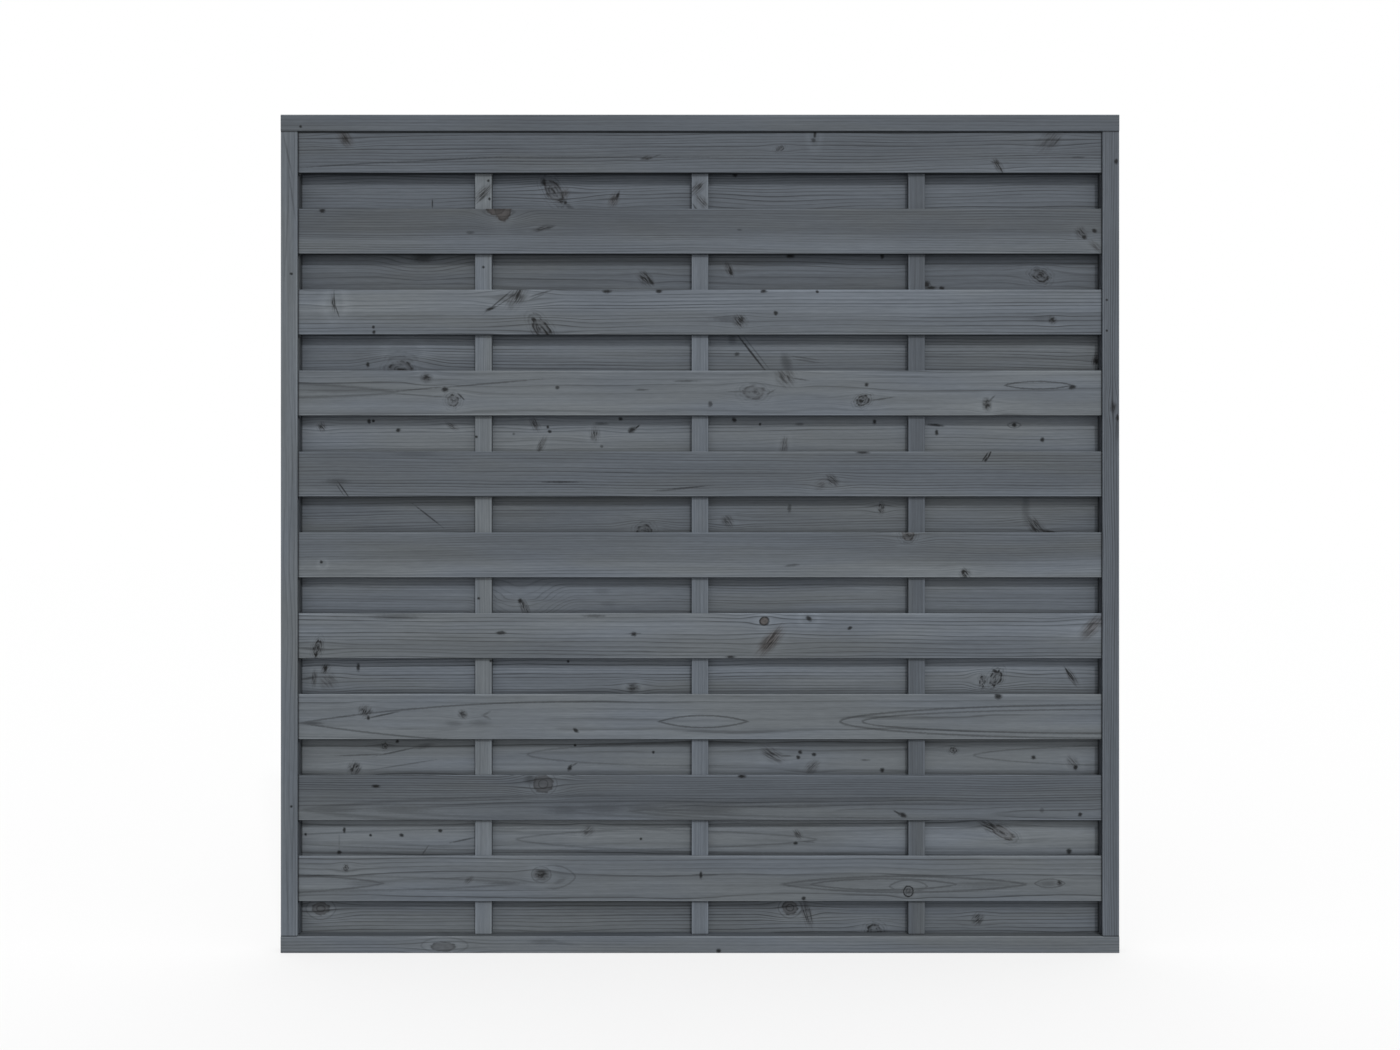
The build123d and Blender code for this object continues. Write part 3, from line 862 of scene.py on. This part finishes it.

# %% [markdown]
# ## Back slats
# The back slats show as strips between the front ones and lie in their shadow. Their faces are read in the
# same way, and the wood runs on behind the overlaps, with painted shade just under and just over each front
# slat.

# %% Read the back slats
# painted shade just under and just over the front slats that overlap a back slat
OVERLAP = (OPENING_HALF, -38.5, 42.5)
BACK_SEEDS = 20
back_slats = [
    dict(
        pith=(-60, 40), ring=5.4, lean=8, wander=22, contrast=0.75, tone=(1.09, 0.95), turn=0, hue=-0.3,
        marks=[
            crack(-580, -22, 9, 90, 0.8, 1.5),
            ringed(-317, 5, 27, 15, -55, 0.8, brown=0.3, pale=1.0, push=0.4),
            pin(-339, 25, 4.5, 7, dark=0.8), hatched(-302, -15, 9, 5, 15, 1.0), pin(-292, -20, 4),
            hatched(-295, -1, 11, 8, 60, 0.7, brown=0.5), hatched(-187, -14, 12, 8, 60, 0.65, brown=0.5),
            pin(-178, -4, 9, 3.2, 70), pin(76, 41, 5.5), smear(-285, -27, 14, 3, -35),
        ],
    ),
    dict(
        pith=(-40, 50), ring=6.4, taper=6, wander=18, contrast=0.55, tone=(0.93, 0.80), turn=0, hue=-0.1,
        marks=[
            smear(-601, 35, 18, 7, 0, 0.6), lens(-600, 20, 120, 50, 1.7), hatched(-119, -10, 14, 10, -45),
            pin(-107, -16, 10, 4, -52), hatched(63, 10, 13, 6, -65, 0.9), pin(67, 2, 6, 3.4, -60),
            pin(195, 39, 9, 5), pin(395, 39, 4.4, 6.5), ringed(738, -4, 17, 12, -20, 1.0),
            pin(492, -23, 7, 8), pin(500, -30, 10, 4), pin(524, -31, 5.5, 4.4),
        ],
    ),
    dict(
        pith=(180, 50), ring=6.6, lean=-5, wander=14, contrast=0.8, tone=(1.20, 0.94), turn=0, hue=-0.08,
        marks=[
            ringed(-649, -36, 25, 22, push=0.95, pale=0.9), halo(-640, 6, 26, 16, 1.0),
            pin(-641, -39, 8, 7), pin(-720, -23, 4, 5.5), crack(112, 2, 52, -52, 0.9, 2.2),
            crack(121, 5, 44, -52, 0.4, 1.5), pin(80, 0, 5.5, 4.4, dark=0.7), smear(70, 34, 7, 10),
            smear(187, -18, 14, 8, -70, 0.45), dash(224, -8, 30, 1.6, -8, 0.4),
            dash(232, -15, 28, 1.6, -8, 0.4), hatched(858, -11, 14, 6, 75, 1.0), pin(859, -16, 4, 6),
        ],
    ),
    dict(
        pith=(-150, 70), ring=6.4, lean=6, wander=14, contrast=0.5, tone=(1.29, 1.21), turn=0,
        marks=[
            pin(-717, 28, 4, 5), pin(-708, 29, 3.4), pin(-654, 9, 5.4, 4.2),
            hatched(-820, 16, 8, 7, -60, 0.8), hatched(-538, 18, 12, 5, -30, 0.6), pin(-404, 1, dark=0.5),
            hatched(-358, 22, 13, 7, -65, 0.8), pin(-330, 16), pin(-326, 6, 4.2, 3.4),
            hatched(-344, -24, 15, 6, 65, 0.85), pin(-147, 10, 9, 6, 30), crack(-136, 16, 7, 40),
            hatched(-228, 0, 12, 8, 88, 0.85), dash(-214, 23, 13, 3.2), pin(-213, -26, 3.6, dark=0.6),
            pin(-172, 33, 5, 4), pin(74, 31, 5), pin(130, 22), dash(215, 22, 10, 2.6),
            hatched(182, -25, 15, 7, 80, 0.6), pin(378, 27, 4.2, 5.5), dash(511, 20, 15, 2.8, -5, 0.9),
            pin(513, 4, 4, 6.5), pin(681, 21, 5.4), eye(681, 20, 14, 6), pin(742, -12, 4.4, 5.4),
        ],
    ),
    dict(
        pith=(150, 60), ring=5.6, lean=8, wander=14, contrast=0.6, tone=(1.0, 0.91), turn=0,
        marks=[
            crack(-590, -2, 34, -38, 0.7, 1.6), ringed(-120, -37, 16, 15, pale=0.9),
            hatched(60, -15, 11, 9, -50, 0.7), pin(194, 14, 4.4, 9, dark=0.6),
            ringed(393, 14, 5.4, 9, dark=1.0), hatched(728, -26, 19, 10, -50, 1.0),
            dash(760, -38, 18, 3.2, -12, 0.9), smear(706, 14, 6, 26, 0, 0.3),
        ],
    ),
    dict(
        pith=(-170, 50), ring=6.0, lean=-4, wander=14, contrast=0.65, tone=(1.13, 1.03), turn=0, hue=-0.08,
        marks=[
            lens(-386, -36, 130, 92, 6.0), pin(-390, -13, 4.6, 5.4), hatched(-380, -29, 16, 7, -65, 0.95),
            smear(-213, 8, 14, 4, 0, 0.2), smear(-200, -20, 14, 4, 0, 0.2),
        ],
    ),
    dict(
        pith=(170, 50), ring=6.4, lean=5, wander=14, contrast=0.85, tone=(1.39, 1.12), turn=0, hue=-0.08,
        marks=[
            hatched(-812, 14, 9, 7, 60, 1.0), pin(-812, 15, 3.6, 6), hatched(-836, -6, 14, 5, 85, 0.8),
            hatched(-806, -12, 15, 14, -50, 0.45), pin(-741, 17, 4.2, 9, dark=0.9), pin(-286, 30),
            knot(-145, -27, 11, 9, pale=0.9, dark=0.8), ringed(612, -14, 6, 11, 0, 1.0),
            ringed(641, -7, 17, 11, 58, 1.0), pin(640, 8, 7, 3.4, -30), hatched(806, -4, 17, 6, -55, 0.95),
            crack(796, 8, 11, -60),
        ],
    ),
    dict(
        pith=(-10, 34), ring=10.0, taper=-5, wander=18, contrast=0.75, tone=(1.13, 1.20), turn=0, hue=0.08,
        marks=[
            ringed(-683, 20, 6, 7, 0, 0.9), pin(-656, 31, 4), dash(-735, 1, 50, 1.6, 2),
            dash(-655, 9, 42, 1.7, 12, 0.6), smear(-600, 20, 16, 4, 12), dash(-640, -20, 60, 1.6, 9, 0.4),
            hatched(-749, -28, 11, 11, 60, 1.0), pin(-271, 22), pin(-101, 7), pin(-282, -27, 7, 4.4, 60),
            dash(-271, -19, 8, 1.8, 30), hatched(157, 2, 21, 10, -30, 0.75), dash(188, -1, 12, 2),
            pin(217, 7, 4.4), pin(213, -4, 4.4), pin(247, 2, 5.4, 3.6), hatched(243, -26, 14, 9, 45, 0.65),
            dash(358, -10, 9), pin(395, -32, 5), ringed(549, 11, 7.5, 6, 0, 1.0), pin(723, -4, 5.4, 4.4),
            hatched(808, -15, 13, 9, -50, 0.5), pin(814, -26, 4.4, 5.6),
            arch(-13, 2, 360, 24, 0, 0.32, 3.4, 1.7), eye(955, 0, 360, 22, 0, 0.32, 3.0, 1.6),
        ],
    ),
    dict(
        pith=(-6, 30), ring=9.0, taper=-4, wander=18, contrast=0.75, tone=(1.46, 1.26), turn=0, hue=0.08,
        marks=[
            pin(-855, 3), pin(-771, 12, 3.6, 6.5), pin(-714, 1), pin(-647, 1, 5, 4), pin(-563, 11, 5, 4),
            pin(-782, -36, 5, 4.6), dash(-782, -16, 20, 1.6, 90, 0.2), crack(-596, -32, 12, 55, 0.5, 1.6),
            dash(-512, -9, 28, 1.8, 12, 0.6), hatched(-244, 10, 11, 9, 40, 0.6), pin(-128, -7),
            hatched(212, 3, 9, 6, -50, 0.8), pin(207, -16, 5.6, 3.6), dash(232, -13, 16, 1.6, -5),
            hatched(628, 20, 20, 9, -30, 0.95), ringed(656, 7, 25, 11, -28, 0.65, brown=0.5, pale=0.9),
            pin(800, -34, 6), arch(204, -8, 600, 30, 0, 0.3, 3.6, 1.5),
            eye(-350, -8, 600, 24, 0, 0.28, 3.2, 1.5),
        ],
    ),
    dict(
        pith=(-120, 50), ring=6.6, lean=4, wander=16, contrast=0.85, tone=(1.01, 1.13), turn=0,
        marks=[
            *target(-822, 16, 18, 13), *target(195, 18, 16, 14, 0.8, 1.6), hatched(232, 4, 22, 8, -75, 0.7),
            crack(240, 2, 16, -78, 0.6, 1.5), crack(226, 6, 14, -70, 0.6, 1.5),
            ringed(378, -33, 15, 14, 0, 0.9), hatched(602, -7, 10, 9, 45, 0.9),
        ],
    ),
]
for number, reading in enumerate(back_slats, 1):
    name = f"back_slat_{number:02d}"
    dress(name, board_material(name, BACK_SEEDS + number, joint=OVERLAP, **reading))
print("stained", len(back_slats), "back slats")

# %% [markdown]
# ## Frame and battens
# The frame and the battens are narrower timber with straighter grain. On an upright, along is measured
# upwards from its middle and up is measured towards the left.

# %% Read the frame and the battens
# where the frame and battens get painted shade: no seam, and the sheltered faces of each timber
NO_SEAM = (FAR_AWAY, -FAR_AWAY, FAR_AWAY)
INNER_LOW = (-4.5, FAR_AWAY, 19.6)
UNDER_LOW = (-4.5, FAR_AWAY, 20.7)
INNER_HIGH = (-FAR_AWAY, 4.5, 19.6)
BATTEN_SIDES = (-17.6, 17.6, FAR_AWAY)
FRAME_SEEDS = 41
frame_and_battens = {
    "top_rail": dict(
        pith=(120, 60), ring=6.0, wander=14, contrast=0.35, tone=(0.83, 0.83), hue=-0.12, joint=NO_SEAM,
        shelter=UNDER_LOW,
        marks=[
            pin(-857, -8),
        ],
    ),
    "bottom_rail": dict(
        pith=(-120, 60), ring=6.0, wander=10, contrast=0.6, tone=(1.08, 1.08), joint=NO_SEAM,
        shelter=INNER_HIGH,
        marks=[
            plug(-551, -4, 24, 10, 0, 0.6, brown=0.15), eye(-548, -1, 50, 17, 0, 0.22, 3.4, 1.8),
            smear(-335, 7, 22, 4, 0, 0.3), smear(-300, 4, 26, 2.4, -6, 0.25), pin(40, -13, 5),
        ],
    ),
    "left_stile": dict(
        upright=True, pith=(40, 60), ring=5.0, wander=16, contrast=0.35, tone=(1.08, 1.08),
        shelter=INNER_LOW,
        marks=[
            pin(558, -5), pin(-585, -5), dash(815, 3, 40, 2, 12, 0.35), dash(730, -6, 55, 1.8, 8, 0.3),
            dash(640, 5, 90, 1.6, -3, 0.25), dash(-760, 4, 100, 1.6, 2, 0.25),
            dash(-640, -9, 70, 1.6, -2, 0.25),
        ],
    ),
    "right_stile": dict(
        upright=True, pith=(-90, 60), ring=3.6, wander=10, contrast=0.8, tone=(0.89, 0.89), hue=-0.3,
        shelter=INNER_HIGH,
        marks=[
            pin(799, -11, 6, 4), knot(272, -5, 10, 7, 0, 0.75), pin(249, -14, 8, 4), smear(225, -13, 20, 3),
            pin(502, 9, 2.6), pin(436, 9, 2.6),
        ],
    ),
    "left_batten": dict(
        upright=True, pith=(60, 70), ring=7.0, wander=20, contrast=0.15, tone=(1.19, 1.19), hue=0.05,
        shelter=BATTEN_SIDES,
        marks=[
            pin(761, -11), pin(722, -13), hatched(735, 0, 20, 8, -48, 0.8),
            crack(722, 4, 14, -48, 0.7, 1.5), pin(575, 0), pin(209, 15), pin(-139, 10), pin(-274, -16),
        ],
    ),
    "centre_batten": dict(
        upright=True, pith=(-60, 60), ring=6.0, wander=20, contrast=0.15, tone=(1.13, 1.13), hue=-0.2,
        shelter=BATTEN_SIDES,
        marks=[
            hatched(745, 6, 15, 8, -45, 1.0), hatched(718, -3, 14, 7, 40, 0.8), crack(700, 8, 12, 35, 0.7),
        ],
    ),
    "right_batten": dict(
        upright=True, pith=(70, 80), ring=6.0, wander=20, contrast=0.2, hue=-0.15, tone=(0.75, 0.75),
        shelter=BATTEN_SIDES,
        marks=[],
    ),
}
for number, (name, reading) in enumerate(frame_and_battens.items(), FRAME_SEEDS):
    dress(name, board_material(name, number, **reading))
print("stained", len(frame_and_battens), "timbers of the frame and battens")

# %% [markdown]
# ## Zinc-plated steel
# Staples and screws are plated with zinc against rust. The plating is grey with a faint mottled bloom and
# fine scratches. On pieces as small as these, two noises are enough: a round one for the colour, and a
# stretched one for the gloss and the bump.

# %% Zinc on the staples
BLOOM = (2.5, 2.5, 2.5)
BLOOM_DETAIL = 3.0
SCRATCH = (0.3, 2.0, 0.3)
ZINC = [(0.3, (0.36, 0.37, 0.38)), (0.7, (0.55, 0.56, 0.58))]
ZINC_ROUGHNESS = (0.2, 0.8, 0.32, 0.5)
SCRATCH_BUMP = 0.4
SCRATCH_DISTANCE = 0.00005


def zinc_material():
    material = bpy.data.materials.new("zinc_plate")
    material.use_nodes = True
    tree = material.node_tree
    surface = tree.nodes["Principled BSDF"]
    where = add_node(tree, "ShaderNodeTexCoord").outputs["Object"]
    place = vector(tree, "SCALE", where, MILLIMETRES)
    bloom = noise(tree, place, BLOOM, BLOOM_DETAIL)[0]
    scratch = noise(tree, place, SCRATCH)[0]
    join(tree, surface.inputs["Base Color"], ramp(tree, bloom, ZINC))
    join(tree, surface.inputs["Roughness"], ease(tree, scratch, *ZINC_ROUGHNESS))
    surface.inputs["Metallic"].default_value = 1.0
    bump = add_node(tree, "ShaderNodeBump", Height=scratch, Distance=SCRATCH_DISTANCE, Strength=SCRATCH_BUMP)
    join(tree, surface.inputs["Normal"], bump.outputs[0])
    return material


zinc = zinc_material()
for name in ("front_slat_staples", "back_slat_staples"):
    dress(name, zinc)
print("zinc on the staples")

# %% [markdown]
# ## Screws
# The screws get real heads with a rounded rim and a six-lobed recess, because the plain cone of the packed
# model would look like a plug from above. One screw is modelled and set into each corner: a circle is
# bridged to the lobed outline of the recess, the recess is pushed down, and the cone and shank follow.

# %% Screws with six-lobed heads
SHANK_RADIUS = 0.003
SCREW_LENGTH = 0.090
POINT_LENGTH = 0.009
POINT_SHARE = 0.03
RECESS_RADIUS = 0.0026
RECESS_DEPTH = 0.0028
RECESS_DRAFT = 0.9
LOBES = 6
LOBE_HEIGHT = 0.15
ROUND_STEPS = 48
RIM_BEVEL = 0.0003
SHARP_ANGLE = math.radians(35.0)


def next_ring(shape, edges, widen, drop):
    """Extrude a ring of edges downwards, made wider or narrower by a factor."""
    made = bmesh.ops.extrude_edge_only(shape, edges=edges)["geom"]
    verts = [item for item in made if isinstance(item, bmesh.types.BMVert)]
    bmesh.ops.scale(shape, vec=(widen, widen, 1.0), verts=verts)
    bmesh.ops.translate(shape, vec=(0.0, 0.0, -drop), verts=verts)
    return [item for item in made if isinstance(item, bmesh.types.BMEdge) and item.is_boundary]


def screw_shape(head):
    """One screw along -Z, with the top of its head at the origin."""
    shape = bmesh.new()
    for vert in bmesh.ops.create_circle(shape, segments=ROUND_STEPS, radius=RECESS_RADIUS)["verts"]:
        vert.co *= 1.0 + LOBE_HEIGHT * math.cos(LOBES * math.atan2(vert.co.y, vert.co.x))
    recess = shape.edges[:]
    bmesh.ops.create_circle(shape, segments=ROUND_STEPS, radius=head)
    rim = [edge for edge in shape.edges if edge not in recess]
    bmesh.ops.bridge_loops(shape, edges=recess + rim)
    bmesh.ops.edgeloop_fill(shape, edges=next_ring(shape, recess, RECESS_DRAFT, RECESS_DEPTH))
    cone = head - SHANK_RADIUS
    edges = next_ring(shape, rim, SHANK_RADIUS / head, cone)
    edges = next_ring(shape, edges, 1.0, SCREW_LENGTH - POINT_LENGTH - cone)
    bmesh.ops.edgeloop_fill(shape, edges=next_ring(shape, edges, POINT_SHARE, POINT_LENGTH))
    bmesh.ops.bevel(shape, geom=rim, offset=RIM_BEVEL, offset_type="OFFSET", segments=2, profile=0.5,
                    affect="EDGES", material=-1)
    bmesh.ops.recalc_face_normals(shape, faces=shape.faces[:])
    return shape


def screws():
    """A screw at each corner of the panel, in place of the plain cones."""
    low, high = (Vector(corner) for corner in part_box("corner_screws"))
    head = (high.y - low.y) / 2
    side = high.x - head
    single = bpy.data.meshes.new("single_screw")
    shape = screw_shape(head)
    shape.to_mesh(single)
    shape.free()
    every = bmesh.new()
    for x in (-side, side):
        for z, turn in ((high.z, 0.0), (low.z, math.pi)):
            first = len(every.verts)
            every.from_mesh(single)
            every.verts.ensure_lookup_table()
            place = Matrix.Translation((x, 0.0, z)) @ Matrix.Rotation(turn, 4, "X")
            bmesh.ops.transform(every, matrix=place, verts=every.verts[first:])
    mesh = bpy.data.meshes.new("screws")
    every.to_mesh(mesh)
    every.free()
    bpy.data.meshes.remove(single)
    mesh.shade_smooth()
    mesh.set_sharp_from_angle(angle=SHARP_ANGLE)
    mesh.materials.append(zinc)
    piece = bpy.data.objects.new("screws", mesh)
    bpy.context.collection.objects.link(piece)
    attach(piece, "root")
    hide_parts("corner_screws")
    return piece


screw_set = screws()
print("screws with", len(screw_set.data.polygons), "faces")

# %% [markdown]
# ## Floor and surrounding
# The panel stands on a plain pale floor. With more light the floor would turn white, but the panel would
# turn too bright as well, so the floor has a glow that only the camera sees. An even white surrounding
# fills the shadows, and the narrow gaps go dark by themselves.

# %% Floor and surrounding
FLOOR_HALF = 30.0
FLOOR_GREY = (0.28, 0.28, 0.28, 1.0)
FLOOR_GLOW = 0.64
FLOOR_ROUGHNESS = 0.9
WHITE = (1.0, 1.0, 1.0, 1.0)
FILL = 1.0


def seen_directly(tree):
    """One for what the camera sees, straight or in a mirror or glass, and zero for light on the panel."""
    path = add_node(tree, "ShaderNodeLightPath").outputs
    seen = maths(tree, "MAXIMUM", path["Is Camera Ray"], path["Is Glossy Ray"])
    return maths(tree, "MAXIMUM", seen, path["Is Transmission Ray"])


def floor():
    shape = bmesh.new()
    bmesh.ops.create_grid(shape, x_segments=1, y_segments=1, size=FLOOR_HALF)
    mesh = bpy.data.meshes.new("floor")
    shape.to_mesh(mesh)
    shape.free()
    piece = bpy.data.objects.new("floor", mesh)
    bpy.context.collection.objects.link(piece)
    material = bpy.data.materials.new("pale_floor")
    material.use_nodes = True
    tree = material.node_tree
    surface = tree.nodes["Principled BSDF"]
    surface.inputs["Base Color"].default_value = FLOOR_GREY
    surface.inputs["Roughness"].default_value = FLOOR_ROUGHNESS
    surface.inputs["Specular IOR Level"].default_value = 0.0
    surface.inputs["Emission Color"].default_value = WHITE
    join(tree, surface.inputs["Emission Strength"], maths(tree, "MULTIPLY", seen_directly(tree), FLOOR_GLOW))
    mesh.materials.append(material)


def surrounding():
    world = bpy.data.worlds.new("studio")
    bpy.context.scene.world = world
    world.use_nodes = True
    background = world.node_tree.nodes["Background"]
    background.inputs["Color"].default_value = WHITE
    background.inputs["Strength"].default_value = FILL


floor()
surrounding()
print("floor and surrounding, fill", FILL)

# %% [markdown]
# ## Sun and camera
# A lamp like a hazy sun shines from the front, above and a little to the right, and puts a crisp shadow
# under each slat. The camera stands straight in front, a little above the panel's middle.

# %% Sun and camera
SUN_TRAVEL = Vector((-0.3, 1.0, -0.87))
SUN_SPREAD = math.radians(6.0)
SUN_STRENGTH = 1.36
CAMERA_HEIGHT = 0.919
CAMERA_DISTANCE = 2.85
VIEW_WIDTH = 3.0042
SENSOR = 36.0


def sun():
    lamp = bpy.data.lights.new("sun", "SUN")
    lamp.energy = SUN_STRENGTH
    lamp.angle = SUN_SPREAD
    piece = bpy.data.objects.new("sun", lamp)
    piece.rotation_euler = SUN_TRAVEL.to_track_quat("-Z", "Y").to_euler()
    bpy.context.collection.objects.link(piece)


def camera():
    data = bpy.data.cameras.new("camera")
    data.sensor_width = SENSOR
    data.lens = SENSOR * CAMERA_DISTANCE / VIEW_WIDTH
    piece = bpy.data.objects.new("camera", data)
    front = cad_box[0][1]
    piece.location = (0.0, front - CAMERA_DISTANCE, CAMERA_HEIGHT)
    piece.rotation_euler = (math.pi / 2, 0.0, 0.0)
    bpy.context.collection.objects.link(piece)
    bpy.context.scene.camera = piece


sun()
camera()
bpy.context.scene.view_settings.view_transform = "Standard"
print("camera", CAMERA_DISTANCE, "m in front, sun travelling", list(SUN_TRAVEL))

# %% [markdown]
# ## Finish
# Dressing the panel must not change its size.

# %% Finish
print("panel dressed")
